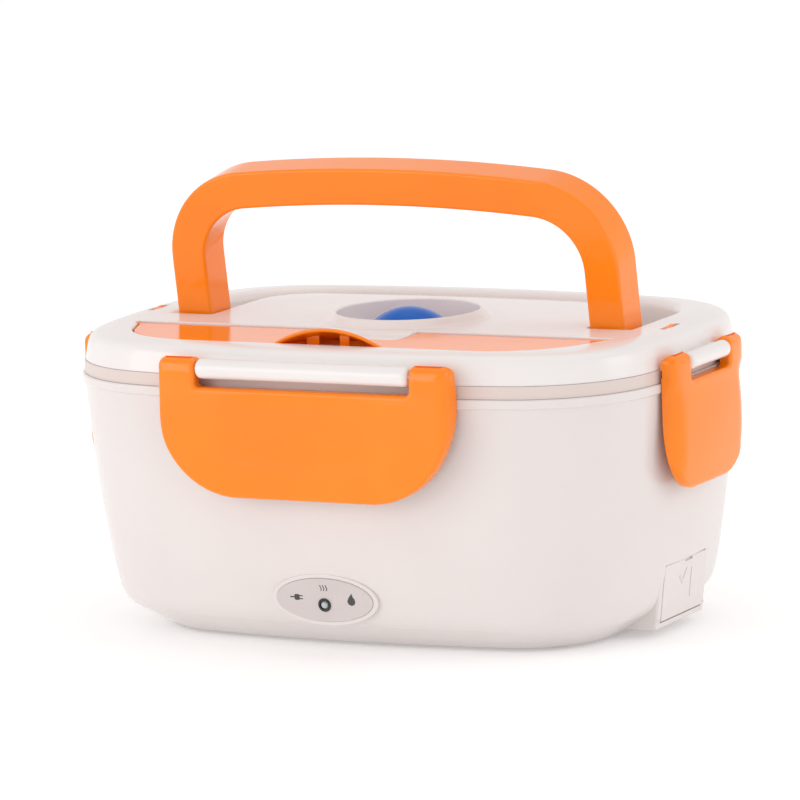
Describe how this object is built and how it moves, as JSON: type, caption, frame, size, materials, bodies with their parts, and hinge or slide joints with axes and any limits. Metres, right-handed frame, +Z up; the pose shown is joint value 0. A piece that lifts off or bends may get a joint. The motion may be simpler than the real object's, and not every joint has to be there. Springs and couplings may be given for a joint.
{
  "type": "electric lunch box",
  "caption": "Portable heated lunch box: white shell and lift-off lid held by orange latches, folding orange carry handle, spoon compartment, steam vent and power inlet.",
  "frame": {"origin": "middle of the footprint, on the surface that the feet stand on", "axes": "+X along the long side towards the power inlet, +Y to the back, +Z up; the indicator panel faces -Y"},
  "size_m": [0.242, 0.1774, 0.1684],
  "materials": {
    "white_shell": "smooth gloss moulded plastic, warm white",
    "white_inner": "satin moulded plastic, white",
    "orange": "smooth gloss moulded plastic, bright orange",
    "container_grey": "translucent milky grey plastic",
    "blue": "smooth moulded plastic, strong blue",
    "panel_grey": "satin printed panel, light grey",
    "black": "black moulded plastic",
    "rubber_grey": "soft grey rubber",
    "silicone": "translucent silicone",
    "red_silicone": "heat resistant silicone",
    "aluminium": "brushed aluminium",
    "steel": "bright steel",
    "heater_body": "insulated heater block",
    "wire_red": "wire insulation, red",
    "wire_blue": "wire insulation, blue",
    "wire_yellow": "wire insulation, yellow",
    "board_green": "circuit board",
    "lens": "milky lamp lens",
    "ceramic": "thermostat body, phenolic"
  },
  "bodies": {
    "base": {"base_shell": "white_shell", "inner_tub": "white_inner", "bottom_cover": "white_shell", "feet": "rubber_grey", "cover_screws": "steel", "heating_plate": "aluminium", "plate_seal": "red_silicone", "ptc_heater": "heater_body", "heater_bracket": "steel", "bracket_screws": "steel", "thermostat": "ceramic", "thermal_fuse": "steel", "inlet_socket": "black", "inlet_pins": "steel", "live_wire": "wire_red", "neutral_wire": "wire_blue", "link_wire": "wire_red", "lamp_wires": "wire_yellow", "lamp_board": "board_green", "lamp_led": "lens", "lamp_bezel": "black", "lamp_plate": "panel_grey", "flap_pin": "steel"},
    "socket_flap": {"socket_flap": "white_shell"},
    "container": {"container": "container_grey"},
    "side_dish": {"side_dish_box": "white_inner"},
    "lid": {"lid_shell": "white_shell", "lid_liner": "white_inner", "lid_gasket": "silicone", "latch_pins": "steel"},
    "vent": {"vent_plug": "blue", "vent_seal": "silicone"},
    "handle": {"handle": "orange"},
    "spoon_cover": {"spoon_cover": "orange"},
    "spoon": {"spoon": "white_inner"},
    "latch_front": {"latch_front": "orange"},
    "latch_back": {"latch_back": "orange"},
    "latch_left": {"latch_left": "orange"},
    "latch_right": {"latch_right": "orange"}
  },
  "joints": [
    {"name": "lid_lift", "type": "slide", "parent": "base", "child": "lid", "axis": [0, 0, 1], "range_m": [0, 0.24]},
    {"name": "container_lift", "type": "slide", "parent": "base", "child": "container", "axis": [0, 0, 1], "range_m": [0, 0.12]},
    {"name": "side_dish_lift", "type": "slide", "parent": "container", "child": "side_dish", "axis": [0, 0, 1], "range_m": [0, 0.06]},
    {"name": "vent_pull", "type": "slide", "parent": "lid", "child": "vent", "axis": [0, 0, 1], "range_m": [0, 0.004]},
    {"name": "handle_swing", "type": "hinge", "parent": "lid", "child": "handle", "pos_m": [0, 0, 0.104], "axis": [-1, 0, 0], "range_deg": [0, 99]},
    {"name": "spoon_cover_open", "type": "hinge", "parent": "lid", "child": "spoon_cover", "pos_m": [0, -0.0319, 0.1085], "axis": [-1, 0, 0], "range_deg": [0, 100]},
    {"name": "spoon_lift", "type": "slide", "parent": "lid", "child": "spoon", "axis": [0, 0, 1], "range_m": [0, 0.021]},
    {"name": "latch_front_open", "type": "hinge", "parent": "lid", "child": "latch_front", "pos_m": [0, -0.0846, 0.1028], "axis": [-1, 0, 0], "range_deg": [0, 110]},
    {"name": "latch_back_open", "type": "hinge", "parent": "lid", "child": "latch_back", "pos_m": [0, 0.0846, 0.1028], "axis": [1, 0, 0], "range_deg": [0, 110]},
    {"name": "latch_right_open", "type": "hinge", "parent": "lid", "child": "latch_right", "pos_m": [0.1169, 0, 0.1004], "axis": [0, -1, 0], "range_deg": [0, 110]},
    {"name": "latch_left_open", "type": "hinge", "parent": "lid", "child": "latch_left", "pos_m": [-0.1169, 0, 0.1004], "axis": [0, 1, 0], "range_deg": [0, 110]},
    {"name": "socket_flap_open", "type": "hinge", "parent": "base", "child": "socket_flap", "pos_m": [0.10245, 0.0025, 0.00679], "axis": [0, 1, 0], "range_deg": [0, 85]}
  ],
  "couplings": [
    {"joint": "container_lift", "follows": "lid_lift", "ratio": 0.5},
    {"joint": "side_dish_lift", "follows": "lid_lift", "ratio": 0.25},
    {"joint": "spoon_lift", "follows": "spoon_cover_open", "m_per_rad": 0.012}
  ]
}
